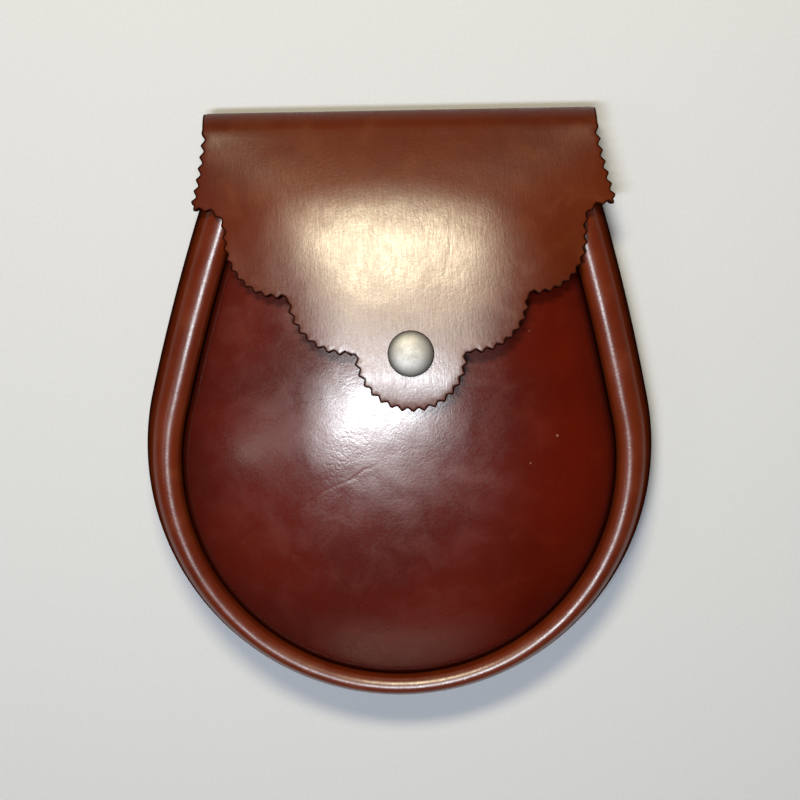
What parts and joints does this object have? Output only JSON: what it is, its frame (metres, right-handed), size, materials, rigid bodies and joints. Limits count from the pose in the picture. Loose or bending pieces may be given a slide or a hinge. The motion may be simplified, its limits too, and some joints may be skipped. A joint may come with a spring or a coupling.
{
  "type": "leather sporran pouch",
  "caption": "Domed leather pouch with a rolled rim, a scalloped pinked flap closed by a snap, and strap loops behind, lying on its back.",
  "frame": {"origin": "middle of the bounding box's base: the pouch lies on its back on z = 0", "axes": "+Y towards the flap's fold (the pouch's top when worn), +Z out of the front, +X to the right as the front is seen"},
  "size_m": [0.1698, 0.1991, 0.0499],
  "materials": {
    "front_leather": "glossy dyed leather with fine creases",
    "rim_leather": "glossy dyed leather, darker at the seam and the outer edge",
    "back_leather": "satin dyed leather, rubbed",
    "flap_leather": "glossy dyed leather with a burnished dark edge",
    "cap_nickel": "satin nickel plate",
    "stud_nickel": "nickel plate",
    "strap_leather": "satin dyed leather, rubbed"
  },
  "bodies": {
    "root": {"front_panel": "front_leather", "gusset": "rim_leather", "back_panel": "back_leather", "flap": "flap_leather", "snap_cap": "cap_nickel", "snap_stud": "stud_nickel", "strap_loop_left": "strap_leather", "strap_loop_right": "strap_leather"}
  },
  "joints": []
}
